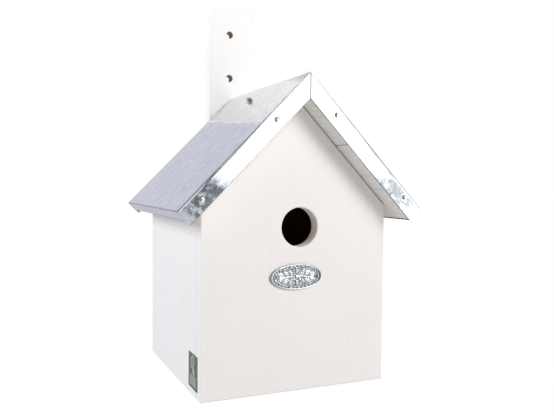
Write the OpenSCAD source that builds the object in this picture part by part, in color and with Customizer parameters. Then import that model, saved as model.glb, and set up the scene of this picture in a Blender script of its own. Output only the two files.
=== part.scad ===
// Nest box for small garden birds: a gabled box of painted boards under one folded zinc sheet,
// carried by a batten that is screwed to a wall or a post. Its floor swings down for cleaning.
// Millimetres. +Z is up and the front faces -Y. The origin is under the middle of the outside
// box, on the surface that the nest box stands on.

/* [Box] */
// Outside width of the box
body_w = 164; // [150:2:180]
// Outside depth of the box, from front face to back face
body_d = 164; // [150:2:200]
// Thickness of the wall boards and the floor
wall_t = 12; // [11:0.5:14]
// Height of the ridge, to the top of the zinc
ridge_h = 256.5; // [245:0.5:280]

/* [Entrance] */
// Diameter of the entrance hole
hole_d = 32; // [26:1:36]
// Height of the centre of the entrance hole
hole_z = 134; // [125:1:145]
// Sideways place of the entrance hole
hole_x = 1.5; // [-5:0.5:5]

/* [Roof] */
// Pitch of both slopes, in degrees
roof_pitch = 45.5; // [43:0.5:47]
// Half the width of the roof, from ridge to eave
roof_reach = 106; // [98:1:115]
// How far the roof stands out in front of the box
overhang = 20; // [12:1:35]
// Thickness of the roof boards
board_t = 14; // [12:0.5:15]
// Width of the board next to the ridge, measured down the slope
ridge_board_w = 63.5; // [62:0.5:70]
// Thickness of the zinc sheet
zinc_t = 0.6; // [0.5:0.1:0.8]
// Width of the lips folded down at the front and the back
gable_lip = 14.5; // [13:0.5:18]
// Width of the lip folded down at the left eave
left_eave_lip = 10; // [8:0.5:15]
// Width of the lip folded down at the right eave
right_eave_lip = 13.5; // [8:0.5:15]

/* [Mounting batten] */
// Width of the batten
batten_w = 48; // [40:1:50]
// Thickness of the batten
batten_t = 12; // [10:1:18]
// Height of the top end of the batten
batten_top = 347; // [340:1:380]
// Height of the bottom end of the batten
batten_bottom = 20; // [10:1:35]
// Diameter of its two mounting holes
mount_hole_d = 7; // [6:0.5:9]
// Distance between the two mounting holes
mount_hole_pitch = 44.5; // [40:0.5:48]
// Distance from the top end to the upper mounting hole
mount_hole_inset = 25.5; // [18:0.5:30]
// Sideways place of the mounting holes
mount_hole_x = -2; // [-5:0.5:5]

/* [Plate and label] */
// Width of the oval plate
plate_w = 47; // [36:1:60]
// Height of the oval plate
plate_h = 20.5; // [16:0.5:28]
// Height of the centre of the plate
plate_z = 94; // [80:1:100]
// Sideways place of the plate
plate_x = -1.5; // [-5:0.5:5]
// Depth of the label, along the side wall
label_w = 24; // [16:1:30]
// Height of the label
label_h = 28; // [16:1:40]

/* [Hinged floor] */
// Height of the underside of the floor above the bottom edges of the walls
floor_z = 10; // [9:0.5:14]
// Gap round the floor
floor_gap = 0.5; // [0.4:0.1:1]
// Diameter of the drain holes
drain_d = 6; // [4:0.5:8]

/* [Hidden] */
$fn = 64;

// Nails with domed heads that hold the zinc lips, and where they sit: distance down the slope
// and below the top of the zinc
lip_head_r = 2.1;
lip_head_h = 1.2;
lip_nail_len = 20;
lip_nails_left = [[47.5, 7], [131.5, 7]];
lip_nails_right = [[40, 6], [132.5, 5]];
lip_nails_back = [[47.5, 7], [131.5, 7]];

// Flush-headed nails that hold the boards
nail_r = 0.9;
nail_head_r = 1.8;
nail_head_h = 1;
nail_len = 30;
nail_tip = 2;
wall_nail_z = [23, 57, 93, 122];
roof_nail_u = [38, 56, 84, 112];

// Main faces, front to back
total_d = lip_head_h + overhang + body_d + batten_t;
lip_y = lip_head_h - total_d / 2;
front_y = lip_y + overhang;
back_y = front_y + body_d;
inner_front_y = front_y + wall_t;
inner_back_y = back_y - wall_t;
inner_x = body_w / 2 - wall_t;

// Roof build-up, measured square to the slope
slope_len = roof_reach / cos(roof_pitch);
roof_t = zinc_t + board_t;
board_inset = 2;
board_gap = 0.4;
lap_w = 8;

// Batten
corner_r = 4;
screw_r = 1.75;
screw_head_r = 3.6;
screw_head_h = 2.4;
batten_screw_len = 22;
batten_screw_x = 14;
batten_screw_z = [45, 180];

// Oval plate and its pins
plate_t = 1.4;
plate_rim_t = 2;
plate_rim_w = 1.4;
pin_r = 0.6;
pin_head_r = 1.5;
pin_head_h = 0.8;
pin_len = 8;
pin_x = 18;

// Label, from the front bottom corner of the side
label_y = 6.5;
label_z = 6;
label_t = 0.3;

// Hinged floor: it turns on two nails, and its back edge is rounded about them
pivot_r = 1.4;
pivot_play = 0.05;
pivot_head_r = 2.5;
pivot_depth = 15;
floor_y = inner_front_y + floor_gap;
pivot_y = inner_back_y - floor_gap - wall_t / 2;
pivot_z = floor_z + wall_t / 2;
stop_size = 8;
stop_len = 60;
stop_gap = 0.2;
drain_spacing = 90;

// Turn clip under the floor, and the slot in the front panel that takes its tip
clip_w = 10;
clip_t = 1.5;
clip_arm = 20;
clip_heel = 9;
clip_tab_h = 4;
clip_gap = 0.3;
clip_play = 0.08;
clip_y = inner_front_y + 14;
clip_z = floor_z - clip_gap - clip_t;
latch_head_r = 3.5;
latch_head_h = 2;
latch_len = 10;
slot_depth = 7;
slot_from = -19;
slot_to = 7;

// Height of the underside of the roof boards at a distance x from the middle
function under_roof(x) = ridge_h - abs(x) * tan(roof_pitch) - roof_t / cos(roof_pitch);

gable_outline = [
    [-body_w / 2, 0], [body_w / 2, 0], [body_w / 2, under_roof(body_w / 2)],
    [0, under_roof(0)], [-body_w / 2, under_roof(body_w / 2)]
];

function ellipse(a, b, n = 72) = [for (i = [0 : n - 1]) [a * cos(i * 360 / n), b * sin(i * 360 / n)]];

// ---- Placing ----

// An outline drawn in X and Z becomes a board from y to y + t
module upright(y, t) translate([0, y + t, 0]) rotate([90, 0, 0]) linear_extrude(t) children();

// What is drawn for the right side, on the side asked for: -1 left, 1 right
module on_side(side) {
    if (side < 0) mirror([1, 0, 0]) children();
    else children();
}

// Frame of the right slope: +X runs down it from the ridge and +Z out of the zinc's top
module on_slope() translate([0, 0, ridge_h]) rotate([0, roof_pitch, 0]) children();

// A flat bar lying in the slope from u0 to u1, between depths d0 and d1 under the zinc's top
module slope_bar(u0, u1, d0, d1, y0, y1) on_slope()
    translate([u0, y0, -d1]) cube([u1 - u0, y1 - y0, d1 - d0]);

// Keeps what lies between plumb planes at x0 and x1
module between(x0, x1) intersection() {
    children();
    translate([x0, -total_d, 0]) cube([x1 - x0, 2 * total_d, batten_top]);
}

module at_front(x, z, y = front_y) translate([x, y, z]) rotate([90, 0, 0]) children();
module at_back(x, z, y = back_y) translate([x, y, z]) rotate([-90, 0, 0]) children();

// A lip nail's place on the slope: u down it and d under its top, on the front or back lip
module at_lip_front(side, place, y) on_side(side) on_slope()
    translate([place[0], y, -place[1]]) rotate([90, 0, 0]) children();
module at_lip_back(side, place, y) on_side(side) on_slope()
    translate([place[0], y, -place[1]]) rotate([-90, 0, 0]) children();

module at_front_lip_nails() {
    for (place = lip_nails_left) at_lip_front(-1, place, lip_y) children();
    for (place = lip_nails_right) at_lip_front(1, place, lip_y + zinc_t) children();
}

module at_back_lip_nails() {
    for (place = lip_nails_back) at_lip_back(-1, place, back_y) children();
    for (place = lip_nails_back) at_lip_back(1, place, back_y - zinc_t) children();
}

module at_roof_nails() for (side = [-1, 1], u = roof_nail_u, y = [front_y, inner_back_y])
    on_side(side) on_slope() translate([u, y + wall_t / 2, -zinc_t]) children();

module at_front_wall_nails() for (side = [-1, 1], z = wall_nail_z)
    at_front(side * (body_w - wall_t) / 2, z) children();

module at_back_wall_nails() for (side = [-1, 1], z = wall_nail_z)
    at_back(side * (body_w - wall_t) / 2, z) children();

module at_batten_screws() for (x = [-batten_screw_x, batten_screw_x], z = batten_screw_z)
    at_back(x, z, back_y + batten_t) children();

module at_plate_pins() for (x = [-pin_x, pin_x])
    at_front(plate_x + x, plate_z, front_y - plate_t) children();

module at_stop_nails() for (x = [-stop_len / 3, stop_len / 3])
    at_back(x, floor_z + wall_t + stop_gap + stop_size / 2, inner_front_y + stop_size) children();

module at_pivots() for (side = [-1, 1])
    on_side(side) translate([body_w / 2, pivot_y, pivot_z]) rotate([0, 90, 0]) children();

module at_latch() translate([0, clip_y, floor_z]) rotate([180, 0, 0]) children();

// ---- Nails, pins and screws: +Z points out of the work, and the face of the work is at zero ----

module shank(r, length, tip) rotate_extrude()
    polygon([[0, 0], [r, 0], [r, tip - length], [0, -length]]);

module domed_head(r, h) {
    ball_r = (r * r + h * h) / (2 * h);
    rotate_extrude() intersection() {
        translate([0, h - ball_r]) circle(ball_r);
        square([r, h]);
    }
}

module flush_nail(length = nail_len) {
    shank(nail_r, length, nail_tip);
    translate([0, 0, -nail_head_h]) cylinder(h = nail_head_h, r = nail_head_r);
}

module lip_nail() {
    shank(nail_r, lip_nail_len, nail_tip);
    domed_head(lip_head_r, lip_head_h);
}

module plate_pin() {
    shank(pin_r, pin_len, 1);
    domed_head(pin_head_r, pin_head_h);
}

module pivot_nail(play = 0) {
    shank(pivot_r + play, wall_t + pivot_depth + 10 * play, nail_tip);
    translate([0, 0, -nail_head_h]) cylinder(h = nail_head_h, r = pivot_head_r);
}

module countersunk_body() {
    shank(screw_r, batten_screw_len, nail_tip);
    rotate_extrude() polygon([[0, 0], [screw_head_r, 0], [screw_r, -screw_head_h], [0, -screw_head_h]]);
}

module countersunk_screw() difference() {
    countersunk_body();
    cross_recess(3.4);
}

module cross_recess(size) for (turn = [0, 90])
    rotate([0, 0, turn]) cube([size, 0.8, 2.4], center = true);

// ---- Walls ----

module front_panel() color("white") difference() {
    upright(front_y, wall_t) polygon(gable_outline);
    at_front(hole_x, hole_z, inner_front_y + 1) cylinder(h = wall_t + 2, d = hole_d);
    translate([slot_from, inner_front_y - slot_depth, clip_z - clip_gap])
        cube([slot_to - slot_from, slot_depth + 1, clip_t + 2 * clip_gap]);
    at_front_wall_nails() flush_nail();
    at_plate_pins() plate_pin();
    at_roof_nails() flush_nail();
    at_stop_nails() flush_nail(stop_size + 8);
}

module back_panel() color("white") difference() {
    upright(inner_back_y, wall_t) polygon(gable_outline);
    at_back_wall_nails() flush_nail();
    at_roof_nails() flush_nail();
    at_batten_screws() countersunk_body();
}

module side_wall(side) color("whitesmoke") difference() {
    on_side(side) upright(inner_front_y, body_d - 2 * wall_t) polygon([
        [inner_x, 0], [body_w / 2, 0], [body_w / 2, under_roof(body_w / 2)], [inner_x, under_roof(inner_x)]
    ]);
    at_front_wall_nails() flush_nail();
    at_back_wall_nails() flush_nail();
    at_pivots() pivot_nail();
}

// ---- Roof ----

module roof_board(side, u0, u1) color("gainsboro") difference() {
    on_side(side) between(0, roof_reach)
        slope_bar(u0, u1, zinc_t, roof_t, lip_y + board_inset, back_y - board_inset);
    at_roof_nails() flush_nail();
    at_front_lip_nails() lip_nail();
    at_back_lip_nails() lip_nail();
}

module upper_board(side) roof_board(side, 0, ridge_board_w);
module lower_board(side) roof_board(side, ridge_board_w + board_gap, slope_len - zinc_t - board_inset);

// One slope of the sheet with its eave lip and its two gable lips. The right half is tucked in
// by one thickness at both ends, so that the left lips lap over its lips.
module zinc_half(side, eave_lip, tuck) {
    y0 = lip_y + tuck;
    y1 = back_y - tuck;
    on_side(side) between(0, roof_reach + 1) {
        slope_bar(0, slope_len, 0, zinc_t, y0, y1);
        slope_bar(slope_len - zinc_t, slope_len, 0, eave_lip, y0, y1);
        slope_bar(0, slope_len, 0, gable_lip, y0, y0 + zinc_t);
        slope_bar(0, slope_len, 0, gable_lip, y1 - zinc_t, y1);
    }
}

// The end of a right gable lip, hidden behind the left one
module lap_tongue(y) on_side(-1) between(0, lap_w)
    slope_bar(0, slope_len, zinc_t / 2, gable_lip, y, y + zinc_t);

module zinc_roof() color("silver") difference() {
    union() {
        zinc_half(-1, left_eave_lip, 0);
        zinc_half(1, right_eave_lip, zinc_t);
        lap_tongue(lip_y + zinc_t);
        lap_tongue(back_y - 2 * zinc_t);
    }
    at_front_lip_nails() shank(nail_r, lip_nail_len, nail_tip);
    at_back_lip_nails() shank(nail_r, lip_nail_len, nail_tip);
}

module front_lip_nails() color("lightgray") at_front_lip_nails() lip_nail();
module back_lip_nails() color("lightgray") at_back_lip_nails() lip_nail();
module roof_nails() color("gray") at_roof_nails() flush_nail();
module front_wall_nails() color("gray") at_front_wall_nails() flush_nail();
module back_wall_nails() color("gray") at_back_wall_nails() flush_nail();

// ---- Batten ----

module round_ended(w, z0, z1, r) {
    translate([-w / 2, z0 + r]) square([w, z1 - z0 - 2 * r]);
    translate([-w / 2 + r, z0]) square([w - 2 * r, z1 - z0]);
    for (x = [r - w / 2, w / 2 - r], z = [z0 + r, z1 - r]) translate([x, z]) circle(r);
}

module mounting_batten() color("white") difference() {
    upright(back_y, batten_t) round_ended(batten_w, batten_bottom, batten_top, corner_r);
    for (drop = [0, mount_hole_pitch]) at_back(mount_hole_x, batten_top - mount_hole_inset - drop, back_y - 1)
        cylinder(h = batten_t + 2, d = mount_hole_d);
    at_batten_screws() countersunk_body();
}

module batten_screws() color("goldenrod") at_batten_screws() countersunk_screw();

// ---- Plate and label ----

module name_plate() color("lightsteelblue") difference() {
    at_front(plate_x, plate_z) union() {
        linear_extrude(plate_t) polygon(ellipse(plate_w / 2, plate_h / 2));
        linear_extrude(plate_rim_t) difference() {
            polygon(ellipse(plate_w / 2, plate_h / 2));
            polygon(ellipse(plate_w / 2 - plate_rim_w, plate_h / 2 - plate_rim_w));
        }
    }
    at_plate_pins() shank(pin_r, pin_len, 1);
}

module plate_pins() color("lightgray") at_plate_pins() plate_pin();

module side_label() color("darkolivegreen")
    translate([-body_w / 2 - label_t, front_y + label_y, label_z]) cube([label_t, label_w, label_h]);

// ---- Floor ----

module floor_stop() color("burlywood") difference() {
    translate([-stop_len / 2, inner_front_y, floor_z + wall_t + stop_gap])
        cube([stop_len, stop_size, stop_size]);
    at_stop_nails() flush_nail(stop_size + 8);
}

module stop_nails() color("gray") at_stop_nails() flush_nail(stop_size + 8);

module floor_pivots() color("gray") at_pivots() pivot_nail();

module floor_panel() color("white") difference() {
    union() {
        translate([floor_gap - inner_x, floor_y, floor_z])
            cube([2 * (inner_x - floor_gap), pivot_y - floor_y, wall_t]);
        translate([floor_gap - inner_x, pivot_y, pivot_z]) rotate([0, 90, 0])
            cylinder(h = 2 * (inner_x - floor_gap), d = wall_t);
    }
    at_pivots() pivot_nail(pivot_play);
    for (x = [-0.5, 0.5], y = [-0.5, 0.5])
        translate([x * drain_spacing, (floor_y + pivot_y) / 2 + y * drain_spacing, floor_z - 1])
            cylinder(h = wall_t + 2, d = drain_d);
    at_latch() shank(screw_r, latch_len, nail_tip);
}

// Round-headed screw that the clip turns on. Its head hangs below the clip.
module latch_screw() color("goldenrod") difference() {
    at_latch() union() {
        shank(screw_r, latch_len, nail_tip);
        cylinder(h = clip_t + 2 * clip_gap, r = screw_r);
        translate([0, 0, clip_t + 2 * clip_gap]) domed_head(latch_head_r, latch_head_h);
    }
    translate([0, clip_y, clip_z - clip_gap - latch_head_h]) cross_recess(3);
}

// Steel turn clip, here turned aside: its arm lies to the left and its finger tab to the right
module latch_clip() color("silver") translate([0, clip_y, clip_z]) difference() {
    union() {
        linear_extrude(clip_t) {
            translate([clip_w / 2 - clip_arm, 0]) circle(d = clip_w);
            translate([clip_w / 2 - clip_arm, -clip_w / 2])
                square([clip_arm - clip_w / 2 + clip_heel, clip_w]);
        }
        translate([clip_heel - clip_t, -clip_w / 2, -clip_tab_h])
            cube([clip_t, clip_w, clip_tab_h + clip_t]);
    }
    translate([0, 0, -1]) cylinder(h = clip_t + 2, r = screw_r + clip_play);
}

// ---- Nodes ----

front_panel();
back_panel();
side_wall(-1);  // left_side
side_wall(1);  // right_side
upper_board(-1);  // roof_board_left_upper
lower_board(-1);  // roof_board_left_lower
upper_board(1);  // roof_board_right_upper
lower_board(1);  // roof_board_right_lower
zinc_roof();
front_lip_nails();
back_lip_nails();
roof_nails();
front_wall_nails();
back_wall_nails();
mounting_batten();
batten_screws();
name_plate();
plate_pins();
side_label();
floor_stop();
stop_nails();
floor_pivots();
floor_panel();
latch_screw();
latch_clip();
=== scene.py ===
# %% [markdown]
# # A nest box with a zinc roof
# A nest box is a small carpenter's job: six painted boards, four roof boards, a folded sheet of
# zinc, a batten to hang it by, and a handful of nails. The CAD model gives every piece its true
# place. This lesson gives each piece its surface: rounded edges, grain, brush marks, folds and
# dents in the sheet, and the light of a bright studio.

# %% Load the frame
import math

import bmesh
import bpy
from mathutils import Matrix, Vector, noise


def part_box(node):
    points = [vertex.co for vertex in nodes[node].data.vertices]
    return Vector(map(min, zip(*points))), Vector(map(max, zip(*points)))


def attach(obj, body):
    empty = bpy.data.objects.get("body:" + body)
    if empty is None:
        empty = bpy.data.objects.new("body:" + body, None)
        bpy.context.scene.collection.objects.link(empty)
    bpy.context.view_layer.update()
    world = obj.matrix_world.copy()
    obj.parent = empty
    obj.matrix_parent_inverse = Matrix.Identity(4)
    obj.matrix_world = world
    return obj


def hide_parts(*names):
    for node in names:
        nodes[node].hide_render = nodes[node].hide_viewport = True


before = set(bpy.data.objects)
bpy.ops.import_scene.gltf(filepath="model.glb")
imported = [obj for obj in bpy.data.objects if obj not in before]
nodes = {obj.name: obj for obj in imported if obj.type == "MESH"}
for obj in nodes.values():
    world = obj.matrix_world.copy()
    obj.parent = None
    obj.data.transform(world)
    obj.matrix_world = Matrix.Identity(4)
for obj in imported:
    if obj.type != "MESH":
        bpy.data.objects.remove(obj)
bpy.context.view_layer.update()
MM = 0.001

# %% [markdown]
# ## The main faces
# Most sizes come from the boxes of the CAD nodes. The front panel gives the width, the ridge of
# the boards and the front face. The zinc gives the ridge and the eaves. Both slopes are 45.5
# degrees. A box can't tell where a hole is, so the holes are stated here.

# %% Measure the main faces
PITCH = math.radians(45.5)
front_low, front_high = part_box("front_panel")
back_low, back_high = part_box("back_panel")
zinc_low, zinc_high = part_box("zinc_roof")
side_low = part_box("right_side")[0]
batten_low, batten_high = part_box("mounting_batten")
half_width = front_high.x
inner_half = side_low.x
board_ridge = front_high.z
shoulder = board_ridge - half_width * math.tan(PITCH)
ridge = zinc_high.z
slope_length = zinc_high.x / math.cos(PITCH)
roof_thick = (ridge - board_ridge) * math.cos(PITCH)
ZINC_THICK = 0.6 * MM
HOLE_RADIUS = 16 * MM
hole_centre = Vector((1.5 * MM, front_low.y, 134 * MM))
BATTEN_HOLE_RADIUS = 3.5 * MM
BATTEN_HOLE_X, BATTEN_HOLE_HEIGHTS = -2 * MM, (321.5, 277.0)
batten_holes = [Vector((BATTEN_HOLE_X, batten_low.y, z * MM)) for z in BATTEN_HOLE_HEIGHTS]
print(f"box {2000 * half_width:.0f} mm wide, shoulder at {1000 * shoulder:.1f} mm, "
      f"roof {1000 * roof_thick:.1f} mm thick")

# %% [markdown]
# ## The camera
# A product is shown from a little to one side, with a fairly long lens, so that its upright edges
# stay nearly parallel. The camera stands to the left of the box, about level with its eaves, and
# looks slightly down. Its direction is built from three turns: heading, tilt and roll.

# %% Place the camera
camera_data = bpy.data.cameras.new("camera")
camera = bpy.data.objects.new("camera", camera_data)
bpy.context.scene.collection.objects.link(camera)
bpy.context.scene.camera = camera
camera_data.sensor_width = 36
camera_data.lens = 40.87
heading, tilt, roll = math.radians(-23.84), math.radians(-2.45), math.radians(0.57)
turn = (Matrix.Rotation(heading, 4, "Z") @ Matrix.Rotation(math.pi / 2 + tilt, 4, "X")
        @ Matrix.Rotation(roll, 4, "Z"))
camera.matrix_world = Matrix.Translation((-0.2213, -0.5352, 0.1712)) @ turn
print(f"camera {camera.location.length:.2f} m from the origin, {camera_data.lens} mm lens")

# %% [markdown]
# ## Node arithmetic
# A material is a sum of masks, and a sum is easier to read as Python than as a web of nodes. The
# class below wraps one output socket, and its operators add the Math nodes. Everything else goes
# through one method that takes a node's type, its settings and what its sockets hold.

# %% Wrap sockets and nodes
class Wire:
    """A node's output that can be added, multiplied and compared like a number."""

    def __init__(self, graph, socket):
        self.graph, self.socket = graph, socket

    def maths(self, operation, *values):
        return self.graph.node("Math", {"operation": operation}, *values)

    def __add__(self, other):
        return self.maths("ADD", self, other)

    def __sub__(self, other):
        return self.maths("SUBTRACT", self, other)

    def __rsub__(self, other):
        return self.maths("SUBTRACT", other, self)

    def __mul__(self, other):
        return self.maths("MULTIPLY", self, other)

    def __gt__(self, other):
        return self.maths("GREATER_THAN", self, other)

    def __lt__(self, other):
        return self.maths("LESS_THAN", self, other)

    def __abs__(self):
        return self.maths("ABSOLUTE", self)

    __radd__ = __add__
    __rmul__ = __mul__

    def power(self, exponent):
        return self.maths("POWER", self, exponent)

    def larger(self, other):
        return self.maths("MAXIMUM", self, other)

    def smaller(self, other):
        return self.maths("MINIMUM", self, other)

    def rise(self, low, high, bottom=0.0, top=1.0):
        """A soft step from bottom to top while the value goes from low to high."""
        return self.graph.node("MapRange", {"interpolation_type": "SMOOTHSTEP"},
                               self, low, high, bottom, top)

    def times(self, vector):
        """A vector scaled by another, one axis at a time."""
        return self.graph.node("VectorMath", {"operation": "MULTIPLY"}, self, vector)

    def plus(self, vector):
        """A vector moved by another."""
        return self.graph.node("VectorMath", {"operation": "ADD"}, self, vector)

    def axes(self):
        """The three parts of a vector."""
        split = self.graph.node("SeparateXYZ", {}, self)
        return [Wire(self.graph, out) for out in split.socket.node.outputs]


class Graph:
    """A node tree under construction."""

    def __init__(self, tree):
        self.tree = tree

    def node(self, kind, settings, *values, out=0, **named):
        made = self.tree.nodes.new("ShaderNode" + kind)
        for key, value in settings.items():
            if key == "stops":
                set_stops(made.color_ramp, value)
            else:
                setattr(made, key, value)
        sockets = [s for s in made.inputs if s.enabled]
        by_name = {s.name: s for s in reversed(sockets)}
        pairs = list(zip(sockets, values)) + [(by_name[k.replace("_", " ")], v) for k, v in named.items()]
        for socket, value in pairs:
            self.plug(socket, value)
        shown = [s for s in made.outputs if s.enabled]
        return Wire(self, shown[out])

    def plug(self, socket, value):
        if isinstance(value, Wire):
            self.tree.links.new(value.socket, socket)
        elif socket.type == "RGBA":
            socket.default_value = (*value[:3], 1)
        else:
            socket.default_value = value

    def mix(self, amount, first, second):
        """A colour between two colours."""
        return self.node("Mix", {"data_type": "RGBA"}, amount, first, second)

    def noise(self, place, scale, detail=3.0, roughness=0.5, distortion=0.0, out=0):
        return self.node("TexNoise", {}, place, out=out, Scale=scale, Detail=detail,
                         Roughness=roughness, Distortion=distortion)

    def cells(self, place, scale, out=0, feature="F1"):
        return self.node("TexVoronoi", {"feature": feature}, place, out=out, Scale=scale)


def set_stops(ramp, stops):
    while len(ramp.elements) < len(stops):
        ramp.elements.new(1.0)
    for element, (position, colour) in zip(ramp.elements, stops):
        element.position, element.color = position, (*colour, 1)


# %% [markdown]
# ## A finish
# Each finish is a Principled shader. Its constants, such as how metallic it is, are set on the
# shader's own sockets. What changes over the surface is linked: colour, roughness and the normal.
# Positions are read in millimetres, because grain, brush marks and dents have real sizes.

# %% Start a finish
class Finish(Graph):
    """A material with a Principled shader."""

    def __init__(self, name, **constants):
        self.material = bpy.data.materials.new(name)
        self.material.use_nodes = True
        super().__init__(self.material.node_tree)
        self.shader = self.tree.nodes["Principled BSDF"]
        for key, value in constants.items():
            self.set(key, value)

    def set(self, key, value):
        self.plug(self.shader.inputs[key.replace("_", " ")], value)

    def place(self):
        """Where the surface is, in millimetres."""
        return self.node("TexCoord", {}, out=3).times((1000, 1000, 1000))

    def relief(self, height, depth_mm, strength=1.0):
        """Raises and lowers the surface's normal by a height of 0 to 1."""
        bump = self.node("Bump", {}, Strength=strength, Distance=depth_mm * MM, Height=height)
        self.set("Normal", bump)


# %% [markdown]
# ## The studio
# White paint wants soft light from all round, and bright zinc wants something to mirror. The two
# can be arranged apart. Matt surfaces get an even glow, a warm lamp from the upper right and a
# cooler one from the left. What the metal sees is drawn on the room itself: a white screen in
# front, a dark gap under it, a dim ceiling, and a grey-blue wall behind. The table glows like a
# light box, so it stays white. Matt surfaces do not see the table itself: the lower half of the
# room stands in for it with a weaker glow, which keeps the shadows under the roof.

# %% Table
def flat_piece(name, corners):
    mesh = bpy.data.meshes.new(name)
    mesh.from_pydata(corners, [], [range(len(corners))])
    piece = bpy.data.objects.new(name, mesh)
    bpy.context.scene.collection.objects.link(piece)
    return piece


TABLE = 6.0
table = flat_piece("table", [(-TABLE, -TABLE, 0), (TABLE, -TABLE, 0), (TABLE, TABLE, 0), (-TABLE, TABLE, 0)])
table_finish = Finish("table_finish", Base_Color=(0.02, 0.02, 0.02), Roughness=0.9,
                      Emission_Color=(1, 1, 1), Emission_Strength=1.0)
table_finish.set("Specular_IOR_Level", 0.0)
table.data.materials.append(table_finish.material)
table.visible_glossy = False
table.visible_diffuse = False

# %% What the metal sees
room = bpy.data.worlds.new("room")
bpy.context.scene.world = room
room.use_nodes = True
walls = Graph(room.node_tree)
across, along, up = walls.node("TexCoord", {}).axes()
bearing = walls.node("Math", {"operation": "ARCTAN2"}, across, along * -1)
gap = up.rise(-0.10, -0.06) * up.rise(0.065, 0.035)
behind = 0.62 + up.rise(0.0, 0.1) * 0.10 - gap * 0.26 + up.rise(0.68, 0.78) * 0.2
gap_foot = bearing * 0.08 - 0.073
right_gain = bearing.rise(0.12, 0.36, 0.28, 0.85) * bearing.rise(0.45, 0.62, 1.0, 2.1)
table_glow = (1 - (up - gap_foot).rise(-0.013, 0.008)) * right_gain
screen = up.rise(-0.020, 0.020) * up.rise(0.38, 0.30) * bearing.rise(0.06, 0.16) * bearing.rise(1.2, 1.0)
side_wall_glow = up.rise(0.0, 0.05) * up.rise(0.45, 0.35) * bearing.rise(0.10, -0.05) * 0.45
ahead = bearing.rise(0.40, 0.56, 0.13, 0.38) + table_glow + screen * 1.65 + side_wall_glow
level = walls.node("Mix", {"data_type": "FLOAT"}, along.rise(0.12, -0.12), behind, ahead)
facing = along.rise(0.12, -0.12)
mirrored = walls.node("CombineColor", {}, level * (0.96 - facing * 0.02), level * (0.965 + facing * 0.035),
                      level * (1.075 - facing * 0.06))

# %% The room's light
AMBIENT, FLOOR_GLOW = (0.17, 0.175, 0.185), (0.72, 0.715, 0.71)
ray = walls.node("LightPath", {})
is_camera, is_glossy = [Wire(walls, ray.socket.node.outputs[n]) for n in ("Is Camera Ray", "Is Glossy Ray")]
glow = walls.mix(up.rise(-0.06, 0.06), FLOOR_GLOW, AMBIENT)
shown = walls.mix(is_camera, walls.mix(is_glossy, glow, mirrored), (1.0, 1.0, 1.0))
walls.plug(room.node_tree.nodes["Background"].inputs["Color"], shown)

# %% Lamps
def soft_light(name, place, aim, size, watts, colour, mirrored_too):
    data = bpy.data.lights.new(name, "AREA")
    data.size, data.energy, data.color = size, watts, colour
    lamp = bpy.data.objects.new(name, data)
    bpy.context.scene.collection.objects.link(lamp)
    lamp.location = place
    lamp.rotation_euler = (Vector(aim) - Vector(place)).to_track_quat("-Z", "Y").to_euler()
    lamp.visible_glossy = mirrored_too


BODY_MIDDLE = (0, 0, 0.14)
soft_light("warm_lamp", (0.6, -1.5, 1.1), BODY_MIDDLE, 0.95, 25.3, (1, 0.965, 0.93), True)
soft_light("cool_lamp", (-1.6, 0.15, 1.0), BODY_MIDDLE, 1.0, 25, (0.92, 0.96, 1.0), False)
bpy.context.scene.view_settings.view_transform = "Standard"
print("studio: table, room and two lamps")

# %% [markdown]
# ## Whitewashed wood
# Thin white paint on softwood stays matt and lets the grain through as faint lines, and the brush
# leaves finer ones. Inside, the wood is bare, and its brown is made darker as painted shade for the
# unlit chamber. The walls of the batten's holes are bare brown. The wall of the entrance hole is
# thinly painted, in a colour lighter than the white paint: painted light on that shaded wall. One
# finish does it all: masks made from the position choose these colours within the box and within
# each hole. The grain is noise that is stretched along the board.

# %% Bare wood and its masks
# Dark brown for the chamber's bare wood, darkened as painted shade for the unlit inside.
SHADED_BARE = (0.30, 0.19, 0.115)
SHADED_BARE_STREAK = (0.44, 0.31, 0.20)
CHAMBER_FOOT_MM = 21.5


def inside_box(x, y, z):
    """1 within the nest chamber, 0 outside."""
    inner_front, inner_back = front_high.y / MM, back_low.y / MM
    sides = abs(x) < inner_half / MM + 0.2
    ends = (y > inner_front - 0.2) * (y < inner_back + 0.2)
    return sides * ends * (z > CHAMBER_FOOT_MM)


def inside_hole(x, z, centre, radius_mm):
    """1 on the wall of a round hole, 0 outside it."""
    dx, dz = x - centre.x / MM, z - centre.z / MM
    return (dx * dx + dz * dz).power(0.5).rise(radius_mm + 0.4, radius_mm + 0.05)


def stretched(along_axis, across_scale, along_scale):
    return [along_scale if axis == along_axis else across_scale for axis in "xyz"]


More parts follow.
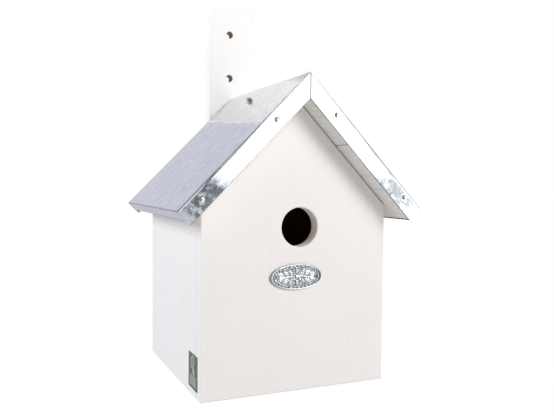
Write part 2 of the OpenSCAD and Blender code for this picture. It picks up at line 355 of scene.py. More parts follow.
def whitewash(name, along_axis, paint, warm, seed, holes=()):
    wood = Finish(name)
    place = wood.place().plus((seed * 37.0, seed * 11.0, seed * 23.0))
    x, y, z = wood.place().axes()
    grain = wood.noise(place.times(stretched(along_axis, 0.42, 0.012)), 1.0, 5, 0.62, 0.6)
    brush = wood.noise(place.times(stretched(along_axis, 2.4, 0.03)), 1.0, 3, 0.6)
    cloud = wood.noise(place, 0.018, 2, 0.5)
    speck = wood.noise(place, 0.9, 2, 0.7).rise(0.70, 0.80)
    thin = grain.rise(0.50, 0.74) * 0.55 + cloud.rise(0.35, 0.75) * 0.30
    painted = wood.mix(thin, paint, warm)
    painted = wood.mix(speck * 0.25, painted, [0.82 * c for c in warm])
    streak = wood.noise(place.times(stretched(along_axis, 1.1, 0.02)), 1.0, 4, 0.6)
    shaded_bare_wood = wood.mix(streak.rise(0.3, 0.7), SHADED_BARE, SHADED_BARE_STREAK)
    # Within the box the bare wood's dark brown is partly painted shade.
    finish = wood.mix(inside_box(x, y, z), painted, shaded_bare_wood)
    # Each hole's wall gets its own colour; the entrance hole's is thin paint plus painted light.
    for centre, radius_mm, colour in holes:
        hole_wall_and_light = wood.mix(streak.rise(0.2, 0.8), colour, [1.12 * c for c in colour])
        finish = wood.mix(inside_hole(x, z, centre, radius_mm), finish, hole_wall_and_light)
    wood.set("Base Color", finish)
    wood.set("Roughness", 0.52 + grain * 0.16)
    wood.relief(grain * 0.6 + brush * 0.4, 0.22, 0.55)
    return wood.material


# %% Paints for each group of boards
WHITE, WHITE_SHADE = (0.885, 0.862, 0.862), (0.845, 0.815, 0.81)
SAWN_WHITE, SAWN_SHADE = (0.84, 0.82, 0.79), (0.70, 0.67, 0.63)
# The entrance hole's wall is lighter than the white paint: thin paint plus painted light on that shaded wall.
HOLE_PAINT_AND_LIGHT, STAINED = (0.96, 0.87, 0.80), (0.40, 0.335, 0.29)
front_paint = whitewash("front_paint", "z", WHITE, WHITE_SHADE, 1,
                        [(hole_centre, HOLE_RADIUS / MM, HOLE_PAINT_AND_LIGHT)])
side_paint = whitewash("side_paint", "z", WHITE, WHITE_SHADE, 2)
batten_paint = whitewash("batten_paint", "z", (0.95, 0.95, 0.95), (0.93, 0.93, 0.93), 3,
                         [(centre, BATTEN_HOLE_RADIUS / MM, STAINED) for centre in batten_holes])
soffit_paint = whitewash("soffit_paint", "y", SAWN_WHITE, SAWN_SHADE, 4)
floor_paint = whitewash("floor_paint", "x", WHITE, WHITE_SHADE, 5)
print("paints:", ", ".join(m.name for m in bpy.data.materials))

# %% [markdown]
# ## Zinc
# Sheet zinc is a soft mirror. Crystals, called spangle, make patches that differ a little in
# shade and in gloss, and rolling and folding leave shallow waves. Cell textures make the spangle
# and noise makes the waves. A slight waviness matters most, because it bends what is mirrored.
# Cut edges are painted near black: the dull cut zinc, with a painted shadow of the gap behind the
# lips, and a painted shadow along the lapped seam at the ridge. The folds are painted dark grey as
# their dark reflection. Both get a mask made from the position.

# %% Where the sheet was cut and folded
LIP_WIDTH_MM = 14.5
EAVE_LIPS_MM = {-1: 10.0, 1: 13.5}
ZINC_FRONT_MM, ZINC_BACK_MM, SLOPE_MM = zinc_low.y / MM, zinc_high.y / MM, slope_length / MM


def down_and_depth(x, z):
    """How far down the slope a point is, and how deep under the top of the zinc."""
    fall = ridge / MM - z
    return (fall * math.sin(PITCH) + abs(x) * math.cos(PITCH),
            fall * math.cos(PITCH) - abs(x) * math.sin(PITCH))


def between_ends(y, margin_mm):
    """1 from one gable lip to the other, less a margin at both ends."""
    return (y > ZINC_FRONT_MM + margin_mm) * (y < ZINC_BACK_MM - margin_mm)


def cut_edge_and_shadow(x, y, z):
    """1 on the cut edges of the lips, dull zinc with painted shadow, and on a painted shadow along the ridge
    seam.
    """
    down, depth = down_and_depth(x, z)
    right = x > 0
    eave_lip = EAVE_LIPS_MM[-1] + right * (EAVE_LIPS_MM[1] - EAVE_LIPS_MM[-1])
    # The lowest strip of each lip is painted near black: dull cut zinc and a painted shadow gap.
    at_gable = depth > LIP_WIDTH_MM - 0.22
    at_eave = (down > SLOPE_MM - 1.3) * ((depth - eave_lip) > -0.22) * between_ends(y, 1.2)
    # A painted shadow: a dark stripe on both lips along the lapped seam at the ridge.
    seam_shadow = (abs(x) < 0.55) * (depth > 0.5) * (1 - between_ends(y, 1.0))
    return at_gable.larger(at_eave).larger(seam_shadow)


def fold_reflection(x, y, z):
    """1 along the folds at the gables and eaves, painted dark grey as the folds' dark reflection."""
    down, depth = down_and_depth(x, z)
    nearest = (y - ZINC_FRONT_MM).smaller(ZINC_BACK_MM - y).smaller(SLOPE_MM - down)
    return depth.larger(nearest).rise(1.5, 0.5)


# %% Zinc sheet finish
CRYSTAL_TILT, FLAKE_TILT, TOP_SHARE = 0.012, 0.009, 0.3


def zinc_sheet():
    zinc = Finish("zinc", Metallic=1.0)
    place = zinc.place()
    bent = place.plus(zinc.noise(place, 0.15, 2, 0.5, out=1).times((6, 6, 6)))
    crystal = zinc.cells(bent, 0.16, out=1)
    flake = zinc.cells(bent, 0.55, out=1)
    frost = zinc.noise(bent, 0.9, 4, 0.65)
    cloud = zinc.noise(place, 0.025, 3, 0.55)
    shade = crystal.axes()[0] * 0.30 + flake.axes()[1] * 0.25 + frost * 0.25 + cloud * 0.20
    x, y, z = place.axes()
    edge = cut_edge_and_shadow(x, y, z)
    bright = zinc.mix(shade.rise(0.32, 0.68), (0.64, 0.655, 0.70), (0.80, 0.81, 0.84))
    # The dark grey along the folds is a painted reflection.
    with_fold_reflection = zinc.mix(fold_reflection(x, y, z) * 0.8, bright, (0.20, 0.205, 0.215))
    # Near black on the cut edges and the ridge seam: dull cut zinc plus painted shadow.
    zinc.set("Base Color", zinc.mix(edge, with_fold_reflection, (0.07, 0.067, 0.063)))
    zinc.set("Roughness", (0.05 + shade * 0.06).larger(edge * 0.6))
    middle = (-0.5, -0.5, -0.5)
    tilt = crystal.plus(middle).times([CRYSTAL_TILT] * 3).plus(flake.plus(middle).times([FLAKE_TILT] * 3))
    on_lip = 1 - between_ends(y, 0.9)
    tilt = zinc.node("VectorMath", {"operation": "SCALE"}, tilt, Scale=on_lip.rise(0.0, 1.0, TOP_SHARE, 1.0))
    level = zinc.node("NewGeometry", {}, out=1).plus(tilt)
    facet = zinc.node("VectorMath", {"operation": "NORMALIZE"}, level)
    waves = zinc.noise(place, 0.035, 2, 0.5)
    zinc.set("Normal", zinc.node("Bump", {}, Strength=1.0, Distance=0.12 * MM, Height=waves, Normal=facet))
    return zinc.material


zinc_finish = zinc_sheet()

# %% [markdown]
# ## Small metal parts
# Nails and screws are turned or stamped steel with a thin zinc coat. They are too small to show a
# pattern, but a slight unevenness in gloss keeps them from looking like plastic.

# %% Steel finishes
def coated_steel(name, dark, light, roughness):
    steel = Finish(name, Metallic=1.0)
    place = steel.place()
    patch = steel.noise(place, 0.9, 3, 0.6)
    steel.set("Base Color", steel.mix(patch.rise(0.3, 0.7), dark, light))
    steel.set("Roughness", roughness + patch * 0.14)
    steel.relief(steel.noise(place, 2.5, 2, 0.5), 0.03, 0.5)
    return steel.material


nail_steel = coated_steel("nail_steel", (0.50, 0.51, 0.52), (0.76, 0.77, 0.78), 0.14)
screw_steel = coated_steel("screw_steel", (0.58, 0.50, 0.30), (0.82, 0.74, 0.50), 0.22)
clip_steel = coated_steel("clip_steel", (0.52, 0.53, 0.55), (0.74, 0.75, 0.77), 0.24)
print("zinc and steel finishes made")

# %% [markdown]
# ## Boards
# A board is a flat outline with a thickness. Real boards have eased edges, which catch the light
# as thin bright lines, so every board gets a rounded bevel. The outline keeps its few true points.

# %% Make boards
def new_piece(name, mesh, finish, body, slot, *replaced):
    piece = bpy.data.objects.new(name, mesh)
    bpy.context.scene.collection.objects.link(piece)
    piece.data.materials.append(finish)
    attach(piece, body)
    if replaced:
        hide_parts(*replaced)
    return piece


def prism(outline, low, high, axis):
    """A solid from an outline in the other two axes, between low and high along axis."""
    order = {"x": lambda a, b, t: (t, a, b), "y": lambda a, b, t: (a, t, b)}[axis]
    count = len(outline)
    points = [order(a, b, t) for t in (low, high) for a, b in outline]
    sides = [(i, (i + 1) % count, count + (i + 1) % count, count + i) for i in range(count)]
    mesh = bpy.data.meshes.new("prism")
    mesh.from_pydata(points, [], [range(count), range(2 * count - 1, count - 1, -1), *sides])
    shaped = bmesh.new()
    shaped.from_mesh(mesh)
    bmesh.ops.recalc_face_normals(shaped, faces=shaped.faces)
    shaped.to_mesh(mesh)
    shaped.free()
    return mesh


def arc(centre, radius, start, end, steps=6):
    """Points on an arc, in degrees, for the corner of an outline."""
    angles = [math.radians(start + (end - start) * i / steps) for i in range(steps + 1)]
    return [(centre[0] + radius * math.cos(a), centre[1] + radius * math.sin(a)) for a in angles]


# %% [markdown]
# ## Eased edges and drilled holes
# A hole could be cut first and bevelled with the rest, but then the bevel meets the long edges that
# join the hole to the outline, and a crease shows across the face. So the edges are eased first, and
# the cutter itself has a rounded mouth that leaves the rim eased. The front panel also gets the slot
# inside its lower edge that takes the tip of the turn clip.

# %% Ease, drill and carve
def ease_edges(piece, width_mm, segments=3):
    """Rounds the sharp edges."""
    bevel = piece.modifiers.new("eased", "BEVEL")
    bevel.width, bevel.segments = width_mm * MM, segments
    bevel.limit_method, bevel.angle_limit = "ANGLE", math.radians(32)
    shade(piece)


def shade(piece):
    """Smooth shading on the small faces, one normal all over on the large ones."""
    piece.data.polygons.foreach_set("use_smooth", [len(p.vertices) < 9 for p in piece.data.polygons])
    weigh = piece.modifiers.new("flat_faces", "WEIGHTED_NORMAL")
    weigh.weight, weigh.keep_sharp = 100, True


def hole_profile(y_front, y_back, radius, rim):
    """(y, radius) of a drill that leaves both rims of the hole rounded."""
    quarter = [math.radians(90 * i / 4) for i in range(5)]
    mouth = [(y_front + rim * (1 - math.cos(a)), radius + rim * (1 - math.sin(a))) for a in quarter]
    mouth.insert(0, (y_front - MM, radius + rim))
    return mouth + [(y_front + y_back - y, r) for y, r in reversed(mouth)]


def drill(piece, centre, radius, y_front, y_back, rim_mm=0.9, steps=96):
    """Cuts a round hole along Y, from y_front to y_back, once the edges are eased."""
    shaped = bmesh.new()
    rings = [[shaped.verts.new((centre.x + r * math.cos(math.tau * i / steps), y,
                                centre.z + r * math.sin(math.tau * i / steps))) for i in range(steps)]
             for y, r in hole_profile(y_front, y_back, radius, rim_mm * MM)]
    for near, far in zip(rings, rings[1:]):
        for i in range(steps):
            shaped.faces.new((near[i - 1], near[i], far[i], far[i - 1]))
    shaped.faces.new(rings[0])
    shaped.faces.new(rings[-1])
    bmesh.ops.recalc_face_normals(shaped, faces=shaped.faces)
    mesh = bpy.data.meshes.new("cutter")
    shaped.to_mesh(mesh)
    shaped.free()
    carve(piece, mesh)


def carve(piece, mesh):
    """Takes a closed mesh out of a piece whose edges are already eased."""
    cutter = bpy.data.objects.new("cutter", mesh)
    bpy.context.scene.collection.objects.link(cutter)
    piece.modifiers.remove(piece.modifiers["flat_faces"])
    cut = piece.modifiers.new("hole", "BOOLEAN")
    cut.operation, cut.solver, cut.object = "DIFFERENCE", "EXACT", cutter
    evaluated = piece.evaluated_get(bpy.context.evaluated_depsgraph_get())
    cut_mesh = bpy.data.meshes.new_from_object(evaluated)
    piece.modifiers.clear()
    piece.data = cut_mesh
    bpy.data.objects.remove(cutter)
    shade(piece)


# %% Front and back panels
CORNER = 1.2 * MM
UNDER_ROOF_GAP = 0.55 * MM


def gable(corner):
    """The pentagon of a gable board, with a thin gap under the roof and two rounded bottom corners."""
    drop = UNDER_ROOF_GAP / math.cos(PITCH)
    left = arc((-half_width + corner, corner), corner, 180, 270)
    right = arc((half_width - corner, corner), corner, 270, 360)
    top = [(half_width, shoulder - drop), (0, board_ridge - drop), (-half_width, shoulder - drop)]
    return [*left, *right, *top]


front = new_piece("front_board", prism(gable(CORNER), front_low.y, front_high.y, "y"), front_paint,
                  "house", "front_paint", "front_panel")
ease_edges(front, 1.1)
drill(front, hole_centre, HOLE_RADIUS, front_low.y, front_high.y, 1.1)
SLOT_X, SLOT_Z, SLOT_DEPTH = (-19 * MM, 7 * MM), (7.9 * MM, 10 * MM), 7 * MM
slot = [(SLOT_X[0], SLOT_Z[0]), (SLOT_X[1], SLOT_Z[0]), (SLOT_X[1], SLOT_Z[1]), (SLOT_X[0], SLOT_Z[1])]
carve(front, prism(slot, front_high.y - SLOT_DEPTH, front_high.y + MM, "y"))
back = new_piece("back_board", prism(gable(CORNER), back_low.y, back_high.y, "y"), side_paint,
                 "house", "wall_paint", "back_panel")
ease_edges(back, 1.0)
print("gable boards:", len(front.data.polygons), "and", len(back.data.polygons), "faces")

# %% Side walls
def side_wall(name, node, side):
    low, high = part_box(node)
    x_out, x_in = side * half_width, side * inner_half
    outline = [(x_in, 0), (x_out, 0), (x_out, shoulder), (x_in, high.z)]
    wall = new_piece(name, prism(outline, low.y, high.y, "y"), side_paint, "house", "wall_paint", node)
    ease_edges(wall, 0.5)


side_wall("left_wall_board", "left_side", -1)
side_wall("right_wall_board", "right_side", 1)

# %% [markdown]
# ## The batten
# The batten is planed timber with softened corners and two plain holes. The bare brown wall of
# each hole is what makes it visible against the white paint.

# %% Make the batten
def batten_outline(corner):
    x, low, high = batten_high.x, batten_low.z, batten_high.z
    return [*arc((-x + corner, low + corner), corner, 180, 270),
            *arc((x - corner, low + corner), corner, 270, 360),
            *arc((x - corner, high - corner), corner, 0, 90),
            *arc((-x + corner, high - corner), corner, 90, 180)]


batten = new_piece("batten", prism(batten_outline(4 * MM), batten_low.y, batten_high.y, "y"),
                   batten_paint, "house", "wall_paint", "mounting_batten")
ease_edges(batten, 0.9)
for centre in batten_holes:
    drill(batten, centre, BATTEN_HOLE_RADIUS, batten_low.y, batten_high.y, 0.4, 48)
print("batten with", len(batten_holes), "holes")

# %% [markdown]
# ## Slopes
# Roof pieces are easier to describe in the slope's own terms: how far down the slope, how far
# back, and how deep under the top of the zinc. One function turns that into a place.

# %% Places on a slope
def on_slope(side, down, y, depth):
    x = down * math.cos(PITCH) - depth * math.sin(PITCH)
    z = ridge - down * math.sin(PITCH) - depth * math.cos(PITCH)
    return Vector((side * x, y, z))


# %% Roof boards
RIDGE_BOARD = 63.5 * MM
BOARD_GAP = 0.5 * MM
BOARD_SETBACK = 2 * MM
SHEET_ROOM = 0.5 * MM


def roof_board(name, node, side, first, last):
    low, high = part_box(node)
    top, bottom = ZINC_THICK + SHEET_ROOM, roof_thick
    start_top = max(first, top * math.tan(PITCH))
    start_bottom = max(first, bottom * math.tan(PITCH))
    section = [(start_top, top), (last, top), (last, bottom), (start_bottom, bottom)]
    points = [on_slope(side, down, y, depth) for y in (low.y, high.y) for down, depth in section]
    outline = [(p.x, p.z) for p in points[:4]]
    board = new_piece(name, prism(outline, low.y, high.y, "y"), soffit_paint, "house", "board_wood", node)
    ease_edges(board, 0.5, 2)


for side, word in ((-1, "left"), (1, "right")):
    roof_board(f"{word}_ridge_board", f"roof_board_{word}_upper", side, 0, RIDGE_BOARD)
    roof_board(f"{word}_eave_board", f"roof_board_{word}_lower", side, RIDGE_BOARD + BOARD_GAP,
               slope_length - ZINC_THICK - BOARD_SETBACK)
print("four roof boards")

# %% [markdown]
# ## The zinc sheet
# One sheet covers both slopes. It is bent over the ridge, and its edges are folded down at the
# eaves and at both gables. It could be a box with a bevel, but a folded sheet has an even
# thickness, rounded folds, a lapped seam under the ridge and shallow dents round its nails. So it
# is built as one surface: each row runs from the front lip over the top to the back lip, and the
# rows follow one another from the left eave over the ridge to the right eave. Solidify then gives
# it its thickness.

# %% Shape of the sheet
FOLD = 0.6 * MM
FOLD_STEPS = 4
GABLE_LIP = LIP_WIDTH_MM * MM
EAVE_LIPS = {side: width * MM for side, width in EAVE_LIPS_MM.items()}
LIP_NAILS = {-1: [(47.5, 7), (131.5, 7)], 1: [(40, 6), (132.5, 5)]}
BACK_NAILS = [(47.5, 7), (131.5, 7)]
DENT_DEPTH, DENT_REACH = 0.12 * MM, 2.8 * MM
LIP_STEPS = 9
TOP_STEPS = 90
DOWN_STEPS = 96


def spread(first, last, steps):
    return [first + (last - first) * i / steps for i in range(steps + 1)]


def across_profile(y_front, y_back):
    """(y, depth) from the bottom of the front lip over the top to the bottom of the back lip."""
    lip = [(y_front, d) for d in spread(GABLE_LIP, FOLD, LIP_STEPS)]
    quarter = [math.radians(90 * i / FOLD_STEPS) for i in range(1, FOLD_STEPS + 1)]
    fold = [(y_front + FOLD * (1 - math.cos(a)), FOLD * (1 - math.sin(a))) for a in quarter]
    front_half = lip + fold
    back_half = [(y_front + y_back - y, d) for y, d in reversed(front_half)]
    top = [(y, 0.0) for y in spread(y_front + FOLD, y_back - FOLD, TOP_STEPS)[1:-1]]
    return front_half + top + back_half


def dent(down, y, depth, nails, y_lip):
    """How far a lip is pulled in near its nails."""
    if abs(y - y_lip) > FOLD:
        return 0.0
    pull = 0.0
    for nail_down, nail_depth in nails:
        gap = math.hypot(down - nail_down * MM, depth - nail_depth * MM)
        pull += DENT_DEPTH * math.exp(-((gap / DENT_REACH) ** 2))
    return pull


def ripple(point, size, amount):
    """A smooth wave of 0 to amount, from noise."""
    return amount * (0.5 + 0.5 * noise.noise(point / size))


def sheet_point(side, down, y, depth, y_front, y_back):
    place = on_slope(side, down, y, depth)
    inward = on_slope(side, down, y, depth + MM) - place
    inward.normalize()
    if depth <= FOLD:
        place += inward * ripple(place + Vector((0, 0, side * 0.3)), 70 * MM, 0.14 * MM) * (1 - depth / FOLD)
    if depth > 0:
        share = min(depth / FOLD, 1.0)
        wave = ripple(place, 18 * MM, 0.16 * MM) + ripple(place, 50 * MM, 0.25 * MM)
        if y < (y_front + y_back) / 2:
            place.y += share * (wave + dent(down, y, depth, LIP_NAILS[side], y_front))
        else:
            place.y -= share * (wave + dent(down, y, depth, BACK_NAILS, y_back))
    return place


# %% Build the sheet
def zinc_mesh():
    shaped = bmesh.new()
    y_front, y_back = zinc_low.y, zinc_high.y
    ridge_rows = {}
    for side in (-1, 1):
        tuck = ZINC_THICK if side > 0 else 0
        rows = across_profile(y_front + tuck, y_back - tuck)
        first, last = LIP_STEPS + 1, len(rows) - LIP_STEPS - 2
        columns = []
        for down in spread(0, slope_length - FOLD, DOWN_STEPS):
            share = 1 - down / (slope_length - FOLD)
            column = []
            for y, depth in rows:
                shifted = down + share * max(depth, FOLD) * math.tan(PITCH)
                column.append(shaped.verts.new(
                    sheet_point(side, shifted, y, depth, y_front + tuck, y_back - tuck)))
            columns.append(column)
        for a, b in zip(columns, columns[1:]):
            stitch(shaped, a, b, side)
        fold_eave(shaped, side, columns[-1], rows, first, last)
        end_lips(shaped, side, columns[-1], rows, y_front + tuck, y_back - tuck)
        ridge_rows[side] = columns[0]
    fold_ridge(shaped, ridge_rows[-1], ridge_rows[1], rows)
    return finish_sheet(shaped)


def stitch(shaped, a, b, side):
    """Joins two rows of points with quads whose outsides face out."""
    for (p, q), (r, s) in zip(zip(a, a[1:]), zip(b, b[1:])):
        shaped.faces.new((p, q, s, r) if side > 0 else (r, s, q, p))


def fold_eave(shaped, side, edge, rows, first, last):
    """Folds the top of the sheet down at the eave."""
    inner = edge[first + FOLD_STEPS - 1:last - FOLD_STEPS + 2]
    ys = [y for y, _ in rows[first + FOLD_STEPS - 1:last - FOLD_STEPS + 2]]
    steps = [math.radians(90 * i / FOLD_STEPS) for i in range(1, FOLD_STEPS + 1)]
    profile = [(slope_length - FOLD + FOLD * math.sin(a), FOLD * (1 - math.cos(a))) for a in steps]
    profile += [(slope_length, depth) for depth in spread(FOLD, EAVE_LIPS[side], 6)[1:]]
    previous = inner
    for down, depth in profile:
        row = []
        for y, start in zip(ys, inner):
            place = on_slope(side, down, y, depth)
            fade = max(0.0, 1 - depth / FOLD)
            drop = start.co - on_slope(side, slope_length - FOLD, y, 0)
            place += drop * fade
            share = min(depth / FOLD, 1.0) * ripple(place, 40 * MM, 0.4 * MM)
            place -= side * Vector((math.cos(PITCH), 0, -side * math.sin(PITCH))) * share
            row.append(shaped.verts.new(place))
        stitch(shaped, previous, row, side)
        previous = row


def end_lips(shaped, side, edge, rows, y_front, y_back):
    """Runs the two gable lips on to the corner, past the start of the eave fold."""
    for part in (range(0, LIP_STEPS + 1), range(len(rows) - LIP_STEPS - 1, len(rows))):
        end = [shaped.verts.new(sheet_point(side, slope_length, rows[i][0], rows[i][1], y_front, y_back))
               for i in part]
        stitch(shaped, [edge[i] for i in part], end, side)


def fold_ridge(shaped, left, right, rows):
    """Rounds the sheet over the ridge between the two slopes."""
    previous = left
    steps = 6
    for step in range(1, steps):
        angle = PITCH * (2 * step / steps - 1)
        row = []
        for index, (_, depth) in enumerate(rows):
            if depth > FOLD:
                row.append(None)
                continue
            radius = FOLD - depth
            blend = step / steps
            start, end = left[index].co, right[index].co
            y = start.y + (end.y - start.y) * blend
            middle = (start.z + end.z) / 2 + radius * math.cos(PITCH) * -1
            row.append(shaped.verts.new((radius * math.sin(angle), y, middle + radius * math.cos(angle))))
        join_ridge(shaped, previous, row)
        previous = row
    join_ridge(shaped, previous, right)


def join_ridge(shaped, a, b):
    for i in range(LIP_STEPS, len(a) - LIP_STEPS - 1):
        corners = [a[i], a[i + 1], b[i + 1], b[i]]
        if None not in corners:
            shaped.faces.new(corners)


def finish_sheet(shaped):
    bmesh.ops.remove_doubles(shaped, verts=shaped.verts, dist=0.02 * MM)
    bmesh.ops.dissolve_degenerate(shaped, edges=shaped.edges, dist=0.001 * MM)
    bmesh.ops.recalc_face_normals(shaped, faces=shaped.faces)
    mesh = bpy.data.meshes.new("zinc_sheet")
    shaped.to_mesh(mesh)
    shaped.free()
    mesh.polygons.foreach_set("use_smooth", [True] * len(mesh.polygons))
    return mesh


zinc = new_piece("zinc_sheet", zinc_mesh(), zinc_finish, "house", "zinc", "zinc_roof")
thickness = zinc.modifiers.new("thickness", "SOLIDIFY")
thickness.thickness, thickness.offset = ZINC_THICK, -1
zinc.modifiers.new("crisp_rim", "EDGE_SPLIT").split_angle = math.radians(50)
print("zinc sheet:", len(zinc.data.polygons), "faces")

# %% [markdown]
# ## Filled nails
# The boards are nailed, and the nail heads are painted over. What remains is a very low dome in
# the paint. A lathe profile turned round each nail's axis makes them all in one mesh, and their
# shanks stay hidden in the wood.

# %% Turn round pieces
def turned(name, profile, spots, finish, body, slot, *replaced, steps=28):
    """One mesh of turned pieces. A profile is (radius, height) pairs; a spot is (place, direction)."""
    shaped = bmesh.new()
    for place, direction in spots:
        axis = Vector(direction).normalized()
        frame_turn = axis.to_track_quat("Z", "Y").to_matrix()
        rings = []
        for radius, height in profile:
            if radius < 1e-9:
                rings.append([shaped.verts.new(Vector(place) + axis * height)])
                continue
            angles = [math.tau * i / steps for i in range(steps)]
            rings.append([shaped.verts.new(Vector(place) + frame_turn @ Vector(
                (radius * math.cos(a), radius * math.sin(a), height))) for a in angles])
        for lower, upper in zip(rings, rings[1:]):
            close_ring(shaped, lower, upper, steps)
    bmesh.ops.recalc_face_normals(shaped, faces=shaped.faces)
    mesh = bpy.data.meshes.new(name)
    shaped.to_mesh(mesh)
    shaped.free()
    mesh.polygons.foreach_set("use_smooth", [True] * len(mesh.polygons))
    mesh.set_sharp_from_angle(angle=math.radians(40))
    return new_piece(name, mesh, finish, body, slot, *replaced)


def close_ring(shaped, lower, upper, steps):
    for i in range(steps):
        j = (i + 1) % steps
        corners = [lower[i % len(lower)], lower[j % len(lower)], upper[j % len(upper)], upper[i % len(upper)]]
        unique = list(dict.fromkeys(corners))
        shaped.faces.new(unique)


def dome(radius, height, foot, steps=6):
    """A profile from a sunk foot over a low dome."""
    ball = (radius * radius + height * height) / (2 * height)
    angles = [math.asin(radius / ball) * (1 - i / steps) for i in range(steps + 1)]
    crown = [(ball * math.sin(a), height - ball + ball * math.cos(a)) for a in angles]
    crown[-1] = (0, height)
    return [(0, -foot), (radius, -foot), *crown]


# %% Painted nail heads
WALL_NAIL_HEIGHTS = [23, 57, 93, 122]
NAIL_X = (half_width + inner_half) / 2
FILLED = dome(1.9 * MM, 0.14 * MM, 0.8 * MM)


def nail_spots(y, facing):
    return [((side * NAIL_X, y, z * MM), (0, facing, 0)) for side in (-1, 1) for z in WALL_NAIL_HEIGHTS]


front_spots, back_spots = nail_spots(front_low.y, -1), nail_spots(back_high.y, 1)
turned("front_nail_heads", FILLED, front_spots, front_paint, "house", "nail_steel", "front_wall_nails")
turned("back_nail_heads", FILLED, back_spots, side_paint, "house", "nail_steel", "back_wall_nails")

# %% Hinge nails
pivot_low, pivot_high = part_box("floor_pivots")
pivot_y, pivot_z = (pivot_low.y + pivot_high.y) / 2, (pivot_low.z + pivot_high.z) / 2
shank = [(0, -26 * MM), (1.4 * MM, -24 * MM), (1.4 * MM, -1 * MM)]
hinge_nail = shank + dome(2.5 * MM, 0.2 * MM, 1 * MM)[1:]
hinge_spots = [((side * half_width, pivot_y, pivot_z), (side, 0, 0)) for side in (-1, 1)]
turned("hinge_nails", hinge_nail, hinge_spots, side_paint, "house", "nail_steel", "floor_pivots")
print("filled nails:", len(front_spots) + len(back_spots), "and two hinge nails")

# %% [markdown]
# ## The oval plate
# The plate is cast: its rim is polished, and its picture stands up from a recess that stays dark.
# A displaced disc would work, but a mesh whose rings follow the oval keeps the rim clean. Each
# point gets its height from a small function: a rim, a ring of beads, two leafy sprays and berries
# between them. The same height gives the metal its patina.

# %% Plate heights
plate_low, plate_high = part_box("name_plate")
plate_middle = (plate_low + plate_high) / 2
PLATE_HALF = (23.5, 10.25)
RECESS_MM = 1.0
LEAVES = [(0.0, 5.0, 90, 0.9), (5.4, 3.4, 48, 0.95), (9.6, 3.2, 24, 1.0), (14.0, 1.9, 8, 0.95),
          (5.6, -3.4, -46, 0.95), (9.8, -3.2, -22, 1.0), (14.2, -1.9, -8, 0.95), (0.0, -5.4, -90, 0.75)]
LEAVES += [(-cx, cz, 180 - angle, size) for cx, cz, angle, size in LEAVES if cx > 0]
BERRIES = [(0.0, 0.0, 1.5), (-2.6, -1.9, 1.15), (2.6, -1.9, 1.15), (0.0, -3.6, 1.15), (-2.5, 2.0, 1.0),
           (2.5, 2.0, 1.0)]
BEADS = 34


def leaf_height(x, z, leaf):
    cx, cz, angle, size = leaf
    turn_back = math.radians(-angle)
    dx, dz = x - cx, z - cz
    along_leaf = (dx * math.cos(turn_back) - dz * math.sin(turn_back)) / (3.1 * size)
    across_leaf = (dx * math.sin(turn_back) + dz * math.cos(turn_back)) / (1.6 * size)
    if abs(along_leaf) >= 1:
        return 0.0
    width = (1 - along_leaf ** 2) * (1 - 0.25 * along_leaf)
    body = max(0.0, 1 - (across_leaf / max(width, 0.05)) ** 2)
    veins = 0.12 * math.cos(9 * (along_leaf - 0.5 * abs(across_leaf)))
    rib = math.exp(-((across_leaf / 0.13) ** 2))
    return body ** 0.6 * (0.62 + veins - 0.38 * rib)


def berry_height(x, z, berry):
    cx, cz, radius = berry
    gap_share = ((x - cx) ** 2 + (z - cz) ** 2) / radius ** 2
    return 0.95 * math.sqrt(1 - gap_share) if gap_share < 1 else 0.0


def stem_height(x, z):
    bend = 0.5 * math.sin(abs(x) * 0.45)
    return 0.42 * math.exp(-(((z - bend) / 0.42) ** 2)) if 1 < abs(x) < 15.5 else 0.0


def bead_height(share, angle):
    across_bead = (share - 0.84) / 0.055
    swell = 0.5 + 0.5 * math.cos(angle * BEADS)
    return 0.95 * max(0.0, 1 - across_bead ** 2) * swell ** 0.6


def plate_height(share, angle):
    """Height over the recess, 0 to 1."""
    x, z = PLATE_HALF[0] * share * math.cos(angle), PLATE_HALF[1] * share * math.sin(angle)
    shapes = [leaf_height(x, z, leaf) for leaf in LEAVES] + [berry_height(x, z, b) for b in BERRIES]
    stipple = 0.14 + 0.14 * noise.noise(Vector((x, z, 0)) * 1.6)
    picture = max(shapes + [stem_height(x, z), stipple]) if share < 0.79 else 0.0
    rim = math.sqrt(max(0.0, 1 - ((share - 0.95) / 0.05) ** 2)) if share > 0.9 else 0.0
    return max(picture, bead_height(share, angle), rim)


# %% Plate finish
RECESS_Y_MM = plate_high.y / MM - RECESS_MM
TOP_Y_MM = plate_low.y / MM
plate_metal = Finish("plate_metal", Metallic=1.0)
place = plate_metal.place()
raised = place.axes()[1].rise(RECESS_Y_MM - 0.1, TOP_Y_MM + 0.35)
grime = plate_metal.noise(place, 1.1, 4, 0.7)
worn = (raised * 0.55 + grime.rise(0.38, 0.62) * 0.6).rise(0.05, 0.9)
plate_metal.set("Base Color", plate_metal.mix(worn, (0.12, 0.13, 0.14), (0.64, 0.66, 0.68)))
plate_metal.set("Roughness", 0.42 - worn * 0.24)
plate_metal.relief(plate_metal.noise(place, 1.6, 3, 0.6), 0.06, 0.8)

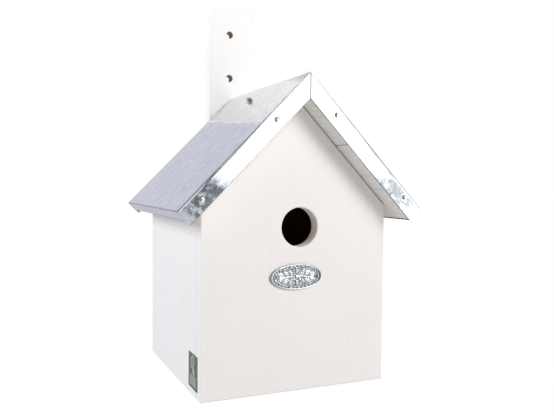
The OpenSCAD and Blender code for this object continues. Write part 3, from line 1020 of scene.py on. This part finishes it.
# %% Make the plate
def plate_mesh(rings=60, around=320):
    shaped = bmesh.new()
    half_x, half_z = PLATE_HALF[0] * MM, PLATE_HALF[1] * MM
    recess = plate_high.y - RECESS_MM * MM
    relief = recess - plate_low.y
    centre = shaped.verts.new((plate_middle.x, recess - relief * plate_height(0, 0), plate_middle.z))
    previous = [centre]
    for ring in range(1, rings + 1):
        share = ring / rings
        row = []
        for i in range(around):
            angle = math.tau * i / around
            row.append(shaped.verts.new((plate_middle.x + half_x * share * math.cos(angle),
                                         recess - relief * plate_height(share, angle),
                                         plate_middle.z + half_z * share * math.sin(angle))))
        close_ring(shaped, previous, row, around)
        previous = row
    foot = [shaped.verts.new((v.co.x, plate_high.y, v.co.z)) for v in previous]
    close_ring(shaped, previous, foot, around)
    shaped.faces.new(foot)
    bmesh.ops.recalc_face_normals(shaped, faces=shaped.faces)
    mesh = bpy.data.meshes.new("oval_plate")
    shaped.to_mesh(mesh)
    shaped.free()
    mesh.polygons.foreach_set("use_smooth", [True] * len(mesh.polygons))
    mesh.set_sharp_from_angle(angle=math.radians(60))
    return mesh


plate = new_piece("oval_plate", plate_mesh(), plate_metal.material, "house", "plate_metal", "name_plate")
print("plate relief:", len(plate.data.polygons), "faces")

# %% Plate pins
PIN_X, PIN_SEAT = 18 * MM, 1.2 * MM
dark_steel = coated_steel("dark_steel", (0.10, 0.10, 0.11), (0.22, 0.22, 0.23), 0.3)
pin_spots = [((plate_middle.x + dx, plate_high.y - PIN_SEAT, plate_middle.z), (0, -1, 0))
             for dx in (-PIN_X, PIN_X)]
turned("pin_heads", dome(1.05 * MM, 0.6 * MM, 0.9 * MM), pin_spots, dark_steel, "house", "nail_steel",
       "plate_pins", steps=20)

# %% [markdown]
# ## The label
# The label is a piece of printed film with slightly rounded corners. Its print is made of plain
# shapes: an outlined leaf and a few bars. Each shape is a mask in the label's own millimetres.

# %% Print the label
label_low, label_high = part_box("side_label")
film = Finish("label_film", Specular_IOR_Level=0.4)
_, label_y, label_z = film.place().axes()
from_back, from_foot = label_high.y / MM - label_y, label_z - label_low.z / MM


def printed_leaf(centre, length, width, angle):
    """A leaf's outline and midrib."""
    turn = math.radians(angle)
    a, b = from_back - centre[0], from_foot - centre[1]
    along_leaf = (a * math.cos(turn) + b * math.sin(turn)) * (1 / length)
    across_leaf = abs(b * math.cos(turn) - a * math.sin(turn))
    reach = (1 - along_leaf * along_leaf) * width
    outline = abs(across_leaf - reach) < 0.55
    rib = across_leaf < 0.3
    return outline.larger(rib) * (abs(along_leaf) < 1.0)


bars = [((abs(from_foot - height) < 0.42) * (abs(from_back - 12) < reach)) for height, reach in
        ((3.2, 8.5), (5.4, 8.5), (7.6, 8.5), (9.8, 8.5))]
marks = printed_leaf((11, 21.5), 5.6, 3.4, 68)
for shape in (printed_leaf((13.5, 14.2), 3.2, 1.5, 130), *bars):
    marks = marks.larger(shape)
worn_print = film.noise(film.place(), 0.7, 3, 0.7).rise(0.3, 0.55)
ground = film.mix(film.noise(film.place(), 0.15, 3, 0.6), (0.095, 0.10, 0.07), (0.15, 0.155, 0.115))
film.set("Base Color", film.mix(marks * (0.6 + worn_print * 0.4), ground, (0.66, 0.69, 0.55)))
film.set("Roughness", 0.42 + worn_print * 0.08)
film.relief(film.noise(film.place(), 1.2, 2, 0.6), 0.02, 0.5)

# %% Cut the label
def label_outline(corner):
    low_y, high_y, low_z, high_z = label_low.y, label_high.y, label_low.z, label_high.z
    return [*arc((low_y + corner, low_z + corner), corner, 180, 270, 4),
            *arc((high_y - corner, low_z + corner), corner, 270, 360, 4),
            *arc((high_y - corner, high_z - corner), corner, 0, 90, 4),
            *arc((low_y + corner, high_z - corner), corner, 90, 180, 4)]


label = new_piece("printed_label", prism(label_outline(0.9 * MM), label_low.x, label_high.x, "x"),
                  film.material, "house", "label_film", "side_label")
ease_edges(label, 0.08, 2)
print("label printed with a leaf and", len(bars), "bars")

# %% [markdown]
# ## CAD pieces that keep their shape
# Lip nails, screws, the floor and the turn clip are already the right shape. They only need a
# finish, smooth shading and, on the stop and the clip, an eased edge. Their meshes come in triangles,
# so a weld and a planar dissolve come before the bevel. These are modifiers: the mesh itself stays.

# %% Dress the CAD nodes
def dress(node, finish, edge_mm=0.0):
    piece = nodes[node]
    piece.data.materials.clear()
    piece.data.materials.append(finish)
    piece.data.polygons.foreach_set("use_smooth", [True] * len(piece.data.polygons))
    weld = piece.modifiers.new("weld", "WELD")
    weld.merge_threshold = 0.005 * MM
    if not edge_mm:
        split = piece.modifiers.new("crisp", "EDGE_SPLIT")
        split.split_angle = math.radians(38)
        return
    flat = piece.modifiers.new("flat", "DECIMATE")
    flat.decimate_type, flat.angle_limit = "DISSOLVE", math.radians(1)
    bevel = piece.modifiers.new("eased", "BEVEL")
    bevel.width, bevel.segments = edge_mm * MM, 2
    bevel.limit_method, bevel.angle_limit = "ANGLE", math.radians(40)
    bevel.harden_normals = True


for node in ("front_lip_nails", "back_lip_nails", "roof_nails", "stop_nails"):
    dress(node, nail_steel)
for node in ("batten_screws", "latch_screw"):
    dress(node, screw_steel)
dress("floor_panel", floor_paint)
dress("floor_stop", soffit_paint, 0.4)
dress("latch_clip", clip_steel, 0.2)
